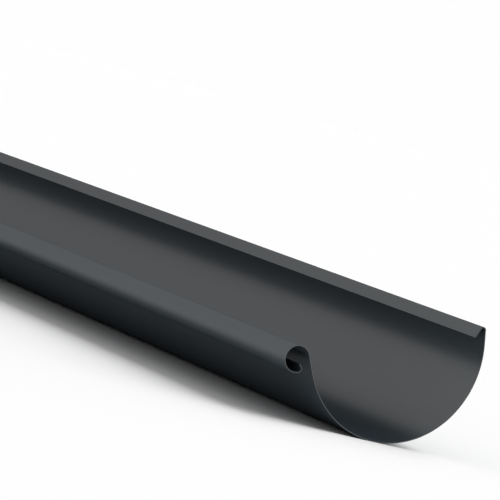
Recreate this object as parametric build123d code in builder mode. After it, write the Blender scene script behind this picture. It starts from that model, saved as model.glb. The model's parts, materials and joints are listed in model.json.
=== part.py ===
from build123d import *

import math
import os

# Driving dimensions of a half-round eaves gutter, in millimetres and degrees.
# The section is described as it hangs at the eaves, seen from its open end:
# the front bead is on the left and the rear fold on the right.
length = 2000.0

trough_inner_diameter = 125.0
sheet_thickness = 0.6

rear_wall_height = 9.6
rear_wall_lean = 4.4
rear_bend_radius = 1.8
rear_lip_length = 7.2
rear_lip_slope = 50.0

front_wall_height = 11.6
front_wall_lean = 10.3

bead_outer_diameter = 17.7
bead_sweep = 265.0
hook_radius = 2.2
hook_sweep = 110.0
hook_tip_length = 2.3

# The section follows the middle of the sheet: these are its two main radii.
trough_radius = (trough_inner_diameter + sheet_thickness) / 2
bead_radius = (bead_outer_diameter - sheet_thickness) / 2

# Angles of the bends, counted anticlockwise from the rear. Both walls lean
# outward, so the trough's round stretch is less than a half circle.
trough_sweep = 180 - rear_wall_lean - front_wall_lean
rear_bend_start = -rear_wall_lean
rear_bend_sweep = 90 + rear_wall_lean + rear_lip_slope
bead_start = front_wall_lean
hook_start = bead_start + bead_sweep


def bend(start_point, radius, start_angle, sweep):
    """A bend of the sheet, turning inward on the side that its start angle faces away from."""
    centre = start_point - Vector(radius, 0).rotate(Axis.Z, start_angle)
    return CenterArc(centre, radius, start_angle, sweep)


with BuildSketch() as section:
    with BuildLine() as middle_line:
        trough = CenterArc((0, 0), trough_radius, rear_bend_start, -trough_sweep)

        # Rear edge: a short straight wall, a tight bend over the top and a
        # lip that slopes down into the trough.
        rear_wall = Line(trough @ 0, trough @ 0 - (trough % 0) * rear_wall_height)
        rear_bend = bend(rear_wall @ 1, rear_bend_radius, rear_bend_start, rear_bend_sweep)
        rear_lip = Line(rear_bend @ 1, rear_bend @ 1 + (rear_bend % 1) * rear_lip_length)

        # Front edge: a straight wall, then the bead, which curls outward and
        # down, and ends in a tighter hook inside itself.
        front_wall = Line(trough @ 1, trough @ 1 + (trough % 1) * front_wall_height)
        bead = bend(front_wall @ 1, bead_radius, bead_start, bead_sweep)
        hook = bend(bead @ 1, hook_radius, hook_start, hook_sweep)
        hook_tip = Line(hook @ 1, hook @ 1 + (hook % 1) * hook_tip_length)
    trace(line_width=sheet_thickness)

# Off its brackets the gutter rolls on its round back until its centre of mass
# is under the trough's axis, bead side down. The finished part lies that way.
balance = section.face().center(CenterOf.MASS)
roll = math.degrees(math.atan2(-balance.X, -balance.Y))
across = Vector(0, 1, 0).rotate(Axis.X, roll)

with BuildSketch(Plane(origin=(0, 0, 0), x_dir=across, z_dir=(1, 0, 0))) as rolled_section:
    add(section.face())
rolled_box = rolled_section.sketch.bounding_box()

# The origin is on the floor, under the middle of the part's width and length.
trough_axis = Vector(0, -rolled_box.center().Y, -rolled_box.min.Z)

with BuildPart() as gutter_profile:
    with BuildSketch(Plane(origin=trough_axis, x_dir=across, z_dir=(1, 0, 0))):
        add(section.face())
    extrude(amount=length / 2, both=True)

gutter_profile.part.label = "gutter_profile"

os.makedirs("parts", exist_ok=True)
export_step(gutter_profile.part, "parts/gutter_profile.step")
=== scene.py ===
import json
import math

import bmesh
import bpy
from mathutils import Matrix, Vector

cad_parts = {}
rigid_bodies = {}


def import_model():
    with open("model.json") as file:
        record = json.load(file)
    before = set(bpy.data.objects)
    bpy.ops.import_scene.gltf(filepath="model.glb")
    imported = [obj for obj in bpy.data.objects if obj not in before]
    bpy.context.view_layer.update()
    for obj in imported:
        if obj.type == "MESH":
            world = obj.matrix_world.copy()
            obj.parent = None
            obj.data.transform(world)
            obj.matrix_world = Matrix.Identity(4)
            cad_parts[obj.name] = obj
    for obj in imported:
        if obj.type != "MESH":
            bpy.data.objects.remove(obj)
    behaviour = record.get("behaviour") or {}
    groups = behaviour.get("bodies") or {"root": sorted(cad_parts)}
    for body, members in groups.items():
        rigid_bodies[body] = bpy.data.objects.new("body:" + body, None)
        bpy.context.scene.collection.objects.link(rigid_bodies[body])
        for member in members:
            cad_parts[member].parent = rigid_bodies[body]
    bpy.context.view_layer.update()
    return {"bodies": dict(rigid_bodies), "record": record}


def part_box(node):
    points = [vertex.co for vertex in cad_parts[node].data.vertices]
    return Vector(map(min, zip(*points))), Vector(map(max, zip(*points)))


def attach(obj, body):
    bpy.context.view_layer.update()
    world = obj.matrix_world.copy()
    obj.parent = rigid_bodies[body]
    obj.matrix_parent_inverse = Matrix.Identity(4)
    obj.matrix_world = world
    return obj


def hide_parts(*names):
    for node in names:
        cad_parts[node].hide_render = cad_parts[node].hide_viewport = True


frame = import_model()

# The gutter's section in metres and degrees, as it hangs at the eaves. It has the
# sizes of the CAD section, and is drawn here with finer steps round its bends. The
# radii are those of the middle of the sheet.
SHEET = 0.0006
TROUGH_RADIUS = 0.0628
REAR_WALL_HEIGHT = 0.0096
REAR_WALL_LEAN = 4.4
REAR_BEND_RADIUS = 0.0018
REAR_LIP_LENGTH = 0.0072
REAR_LIP_SLOPE = 50.0
FRONT_WALL_HEIGHT = 0.0116
FRONT_WALL_LEAN = 10.3
BEAD_RADIUS = 0.00855
BEAD_SWEEP = 265.0
HOOK_RADIUS = 0.0022
HOOK_SWEEP = 110.0
HOOK_TIP_LENGTH = 0.0023

# The mesh: the chamfer of the cut edges, how far a chord may stray from its arc, the
# distance between rings along the gutter, and the angle above which an edge is sharp.
CUT_CHAMFER = 0.00008
CHORD_ERROR = 0.000006
RING_SPACING = 0.05
SHARP_ANGLE = 20

# The material slot of the cut ends, and the attribute that says how far out through the
# sheet a point is: 0 on the face that is inside in the trough, 1 on the other.
CUT_SLOT = 1
ACROSS_SHEET = "across_sheet"

# Where the photograph was taken from, as the gutter hangs: metres from the trough's
# axis at the near end, degrees, and the lens and the sensor's width in millimetres.
CAMERA_PLACE = Vector((1.9086, -1.0402, 0.4585))
CAMERA_AZIMUTH = 63.905
CAMERA_ELEVATION = 10.34
CAMERA_LENS = 251.4
CAMERA_SENSOR = 36.0
CAMERA_REACH = 200.0

# The sky and a large soft key together light the open floor at a level of about one.
# The backdrop shows in front of the camera and in what the gutter reflects. The key
# comes from the rear; its spread, and its tilt from straight down, are in degrees.
SKY_FILL = (0.40, 0.40, 0.40, 1)
BACKDROP = (0.99, 0.99, 0.99, 1)
KEY_ENERGY = 3.94
KEY_SPREAD = 90
KEY_TILT = -60

# The floor: how far it goes on each way, and its pale matt surface.
FLOOR_REACH = 60.0
FLOOR_COLOUR = (0.95, 0.95, 0.95, 1)
FLOOR_ROUGHNESS = 0.9

# Noise patterns: features a metre along X, Y and Z, levels of detail, and a seed.
STREAKS = ((1.2, 420.0, 420.0), 3.0, 0.0)
CLOUDS = ((9.0, 26.0, 26.0), 2.0, 4.0)
PEEL = ((620.0, 620.0, 620.0), 1.0, 9.0)
GRAIN = ((2600.0, 2600.0, 2600.0), 3.0, 2.0)

# The coating's body: clouds drift between its two shades, and fainter streaks darken
# it. A range is the stretch of its pattern that goes from none to all.
BODY_SHADES = ((0.034, 0.0445, 0.053, 1), (0.036, 0.0475, 0.056, 1))
CLOUD_RANGE = (0.3, 0.7)
STREAK_COLOUR = (0.02, 0.025, 0.028, 1)
STREAK_RANGE = (0.35, 0.65)
STREAK_STRENGTH = 0.1
BODY_ROUGHNESS = 0.5

# The clear film over it: how much it reflects when it is seen at a slant, its weight
# when it is seen square on, and its orange peel.
COAT_IOR = 1.5
COAT_GLOSS = 0.079
COAT_SQUARE_ON = 0.65
COAT_ROUGHNESS = 0.25
PEEL_STRENGTH = 0.5
PEEL_HEIGHT = 0.00001

# The cut steel: the border where the burnished band turns into the torn one, as a
# share of the way out through the sheet, and how far the grain makes it wander.
BURNISHED = (0.136, 0.140, 0.145, 1)
TORN_SHADES = ((0.012, 0.013, 0.014, 1), (0.03, 0.032, 0.035, 1))
TORN_BORDER = (0.75, 0.95)
BORDER_WANDER = 0.3
CUT_ROUGHNESS = (0.3, 0.5)
CUT_METALLIC = 0.75


def hung_frame():
    """The turn and shift from the hung gutter's frame to the one it lies in.

    They come from the gutter's cradle mount, which is the bottom of the hung trough.
    """
    cradle = next(m for m in frame["record"]["mounts"] if m["name"] == "bracket_cradle")
    up = -Vector(cradle["axis"])
    along = Vector((1, 0, 0))
    rear = up.cross(along)
    centre = Vector(cradle["pos_m"]) + up * (TROUGH_RADIUS + SHEET / 2)
    turn = Matrix((along, rear, up)).transposed().to_4x4()
    return Matrix.Translation(centre) @ turn


def heading(angle):
    return Vector((math.cos(math.radians(angle)), math.sin(math.radians(angle))))


def bend_stations(start, angle, radius, sweep):
    """Points and headings round an arc that leaves start at angle; a positive sweep turns left."""
    side = math.copysign(1, sweep)
    centre = start + heading(angle + 90 * side) * radius
    step = math.degrees(2 * math.acos(1 - CHORD_ERROR / radius))
    count = math.ceil(abs(sweep) / step)
    for i in range(1, count + 1):
        turned = angle + sweep * i / count
        yield centre + heading(turned - 90 * side) * radius, turned


def middle_line():
    """Stations along the middle of the sheet, from the rear lip's edge to the hook's tip.

    Each is a point and the heading there, with the trough's axis at the origin.
    """
    stations = [(Vector((0, 0)), REAR_LIP_SLOPE)]

    def straight(length):
        point, angle = stations[-1]
        stations.append((point + heading(angle) * length, angle))

    def bend(radius, sweep):
        point, angle = stations[-1]
        stations.extend(bend_stations(point, angle, radius, sweep))

    straight(CUT_CHAMFER)
    straight(REAR_LIP_LENGTH - CUT_CHAMFER)
    bend(REAR_BEND_RADIUS, -(90 + REAR_WALL_LEAN + REAR_LIP_SLOPE))
    straight(REAR_WALL_HEIGHT)
    trough_start = stations[-1][0]
    bend(TROUGH_RADIUS, -(180 - REAR_WALL_LEAN - FRONT_WALL_LEAN))
    straight(FRONT_WALL_HEIGHT)
    bend(BEAD_RADIUS, BEAD_SWEEP)
    bend(HOOK_RADIUS, HOOK_SWEEP)
    straight(HOOK_TIP_LENGTH - CUT_CHAMFER)
    straight(CUT_CHAMFER)

    shift = heading(-REAR_WALL_LEAN) * TROUGH_RADIUS - trough_start
    return [(point + shift, angle) for point, angle in stations]


def rings():
    """(x, inset) of each ring of the mesh: the two cut ends are chamfered."""
    low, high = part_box("gutter_profile")
    length = high.x - low.x
    count = round(length / RING_SPACING)
    step = (length - 2 * CUT_CHAMFER) / count
    inner = [(low.x + CUT_CHAMFER + step * i, 0.0) for i in range(count + 1)]
    return [(low.x, CUT_CHAMFER)] + inner + [(high.x, CUT_CHAMFER)]


def ring_points(stations, x, inset):
    """Both faces of the sheet at x: the trough's inner face first, then its outer face."""
    inner, outer = [], []
    last = len(stations) - 1
    for i, (point, angle) in enumerate(stations):
        chamfer = max(inset, CUT_CHAMFER if i in (0, last) else 0.0)
        side = heading(angle - 90) * (SHEET / 2 - chamfer)
        inner.append(Vector((x, *(point + side))))
        outer.append(Vector((x, *(point - side))))
    return inner, outer


def gutter_mesh():
    """The sheet as one closed mesh, with its cut ends in a material slot of their own."""
    stations = middle_line()
    hung = hung_frame()
    mesh = bmesh.new()
    across = mesh.verts.layers.float.new(ACROSS_SHEET)
    loops = []
    for x, inset in rings():
        inner, outer = ring_points(stations, x, inset)
        points = [mesh.verts.new(hung @ p) for p in inner + outer[::-1]]
        for point in points[len(inner):]:
            point[across] = 1.0
        loops.append(points)

    size = len(loops[0])
    for a, b in zip(loops, loops[1:]):
        for i in range(size):
            j = (i + 1) % size
            mesh.faces.new((a[i], b[i], b[j], a[j]))
    for loop in (loops[0], loops[-1]):
        for i in range(size // 2 - 1):
            face = mesh.faces.new((loop[i], loop[i + 1], loop[-i - 2], loop[-i - 1]))
            face.material_index = CUT_SLOT
    bmesh.ops.recalc_face_normals(mesh, faces=mesh.faces)

    data = bpy.data.meshes.new("gutter_sheet")
    mesh.to_mesh(data)
    mesh.free()
    data.shade_smooth()
    data.set_sharp_from_angle(angle=math.radians(SHARP_ANGLE))
    return data


def new_object(name, data):
    """A new object in the scene."""
    thing = bpy.data.objects.new(name, data)
    bpy.context.scene.collection.objects.link(thing)
    return thing


def new_material(name):
    """A new material, with its node tree and its Principled shader."""
    material = bpy.data.materials.new(name)
    material.use_nodes = True
    tree = material.node_tree
    return material, tree, tree.nodes["Principled BSDF"]


def feed(tree, socket, value):
    """Link an output to a socket, or set the socket to a number or colour."""
    if isinstance(value, bpy.types.NodeSocket):
        tree.links.new(value, socket)
    else:
        socket.default_value = value


def noise(tree, per_metre, detail, seed):
    """Noise with so many features a metre along X, Y and Z of the object, from 0 to 1."""
    place = tree.nodes.new("ShaderNodeTexCoord")
    stretch = tree.nodes.new("ShaderNodeMapping")
    stretch.inputs["Location"].default_value = (seed, seed, seed)
    stretch.inputs["Scale"].default_value = per_metre
    pattern = tree.nodes.new("ShaderNodeTexNoise")
    pattern.inputs["Scale"].default_value = 1.0
    pattern.inputs["Detail"].default_value = detail
    tree.links.new(place.outputs["Object"], stretch.inputs["Vector"])
    tree.links.new(stretch.outputs["Vector"], pattern.inputs["Vector"])
    return pattern.outputs["Fac"]


def scaled(tree, value, from_range, to_range):
    """An output brought from one range to another, and held inside it."""
    node = tree.nodes.new("ShaderNodeMapRange")
    node.inputs["From Min"].default_value, node.inputs["From Max"].default_value = from_range
    node.inputs["To Min"].default_value, node.inputs["To Max"].default_value = to_range
    tree.links.new(value, node.inputs["Value"])
    return node.outputs["Result"]


def combined(tree, operation, *values):
    """What a Math node makes of numbers and outputs."""
    node = tree.nodes.new("ShaderNodeMath")
    node.operation = operation
    for socket, value in zip(node.inputs, values):
        feed(tree, socket, value)
    return node.outputs["Value"]


def blended(tree, factor, low, high):
    """A colour that goes from low to high with factor."""
    node = tree.nodes.new("ShaderNodeMix")
    node.data_type = "RGBA"
    tree.links.new(factor, node.inputs["Factor"])
    for name, colour in (("A", low), ("B", high)):
        socket = next(s for s in node.inputs if s.name == name and s.type == "RGBA")
        feed(tree, socket, colour)
    return next(s for s in node.outputs if s.type == "RGBA")


def even_gloss(tree):
    """The film's weight: it rises until the film reflects COAT_GLOSS, and then keeps it there.

    The film's own Fresnel reflection grows towards a grazing view, and is divided away.
    """
    fresnel = tree.nodes.new("ShaderNodeFresnel")
    fresnel.inputs["IOR"].default_value = COAT_IOR
    mirrored = fresnel.outputs["Fac"]
    mirrored_square_on = ((COAT_IOR - 1) / (COAT_IOR + 1)) ** 2
    rise = scaled(tree, mirrored, (mirrored_square_on, COAT_GLOSS), (COAT_SQUARE_ON, 1.0))
    return combined(tree, "MINIMUM", rise, combined(tree, "DIVIDE", COAT_GLOSS, mirrored))


def coated_steel():
    """Satin anthracite coil coating with fine orange peel and faint streaks along its rolling."""
    material, tree, shader = new_material("coated_steel")
    clouds = scaled(tree, noise(tree, *CLOUDS), CLOUD_RANGE, (0.0, 1.0))
    streaks = scaled(tree, noise(tree, *STREAKS), STREAK_RANGE, (0.0, STREAK_STRENGTH))
    body = blended(tree, streaks, blended(tree, clouds, *BODY_SHADES), STREAK_COLOUR)
    feed(tree, shader.inputs["Base Color"], body)
    feed(tree, shader.inputs["Roughness"], BODY_ROUGHNESS)
    feed(tree, shader.inputs["Specular IOR Level"], 0.0)

    feed(tree, shader.inputs["Coat Weight"], even_gloss(tree))
    feed(tree, shader.inputs["Coat Roughness"], COAT_ROUGHNESS)
    feed(tree, shader.inputs["Coat IOR"], COAT_IOR)
    bump = tree.nodes.new("ShaderNodeBump")
    feed(tree, bump.inputs["Strength"], PEEL_STRENGTH)
    feed(tree, bump.inputs["Distance"], PEEL_HEIGHT)
    feed(tree, bump.inputs["Height"], noise(tree, *PEEL))
    feed(tree, shader.inputs["Normal"], bump.outputs["Normal"])
    feed(tree, shader.inputs["Coat Normal"], bump.outputs["Normal"])
    return material


def cut_steel():
    """The sheared end: a bright burnished band on the inside, and a dark torn one outside it."""
    material, tree, shader = new_material("cut_steel")
    across = tree.nodes.new("ShaderNodeAttribute")
    across.attribute_name = ACROSS_SHEET
    grain = noise(tree, *GRAIN)
    depth = combined(tree, "MULTIPLY_ADD", grain, BORDER_WANDER, across.outputs["Fac"])
    torn = scaled(tree, depth, TORN_BORDER, (0.0, 1.0))
    colour = blended(tree, torn, BURNISHED, blended(tree, grain, *TORN_SHADES))
    feed(tree, shader.inputs["Base Color"], colour)
    feed(tree, shader.inputs["Roughness"], scaled(tree, torn, (0.0, 1.0), CUT_ROUGHNESS))
    feed(tree, shader.inputs["Metallic"], CUT_METALLIC)
    feed(tree, shader.inputs["Specular IOR Level"], 0.0)
    return material


def add_gutter():
    data = gutter_mesh()
    data.materials.append(coated_steel())
    data.materials.append(cut_steel())
    gutter = new_object("gutter_sheet", data)
    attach(gutter, list(frame["bodies"])[0])
    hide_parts("gutter_profile")


def add_floor():
    mesh = bpy.data.meshes.new("floor")
    corners = [(x * FLOOR_REACH, y * FLOOR_REACH, 0)
               for x, y in ((-1, -1), (1, -1), (1, 1), (-1, 1))]
    mesh.from_pydata(corners, [], [(0, 1, 2, 3)])
    material, tree, shader = new_material("floor")
    feed(tree, shader.inputs["Base Color"], FLOOR_COLOUR)
    feed(tree, shader.inputs["Roughness"], FLOOR_ROUGHNESS)
    feed(tree, shader.inputs["Specular IOR Level"], 0.0)
    mesh.materials.append(material)
    floor = new_object("floor", mesh)


def add_world():
    """An even sky, with the backdrop in its place wherever the camera or a reflection sees it."""
    world = bpy.data.worlds.new("studio")
    bpy.context.scene.world = world
    world.use_nodes = True
    # Sampled as a lamp, the sky would light reflections with its fill and not the backdrop.
    world.cycles.sampling_method = "NONE"
    tree = world.node_tree
    path = tree.nodes.new("ShaderNodeLightPath")
    seen = path.outputs["Is Camera Ray"]
    for ray in ("Is Glossy Ray", "Is Transmission Ray"):
        seen = combined(tree, "MAXIMUM", seen, path.outputs[ray])
    sky = blended(tree, seen, SKY_FILL, BACKDROP)
    feed(tree, tree.nodes["Background"].inputs["Color"], sky)


def add_lamp():
    light = bpy.data.lights.new("key", "SUN")
    light.energy = KEY_ENERGY
    light.angle = math.radians(KEY_SPREAD)
    lamp = new_object("key", light)
    lamp.rotation_euler = (math.radians(KEY_TILT), 0, 0)
    lamp.visible_glossy = False


def add_camera():
    near_end = Vector((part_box("gutter_profile")[1].x, 0, 0))
    azimuth, elevation = math.radians(CAMERA_AZIMUTH), math.radians(CAMERA_ELEVATION)
    forward = Vector((-math.sin(azimuth) * math.cos(elevation),
                      math.cos(azimuth) * math.cos(elevation),
                      -math.sin(elevation)))
    right = Vector((math.cos(azimuth), math.sin(azimuth), 0))
    up = right.cross(forward)
    turn = Matrix((right, up, -forward)).transposed().to_4x4()
    camera = new_object("camera", bpy.data.cameras.new("camera"))
    camera.data.lens = CAMERA_LENS
    camera.data.sensor_width = CAMERA_SENSOR
    camera.data.clip_end = CAMERA_REACH
    camera.matrix_world = hung_frame() @ Matrix.Translation(CAMERA_PLACE + near_end) @ turn
    bpy.context.scene.camera = camera


add_gutter()
add_floor()
add_world()
add_lamp()
add_camera()
bpy.context.scene.view_settings.view_transform = "Standard"
bpy.context.view_layer.update()
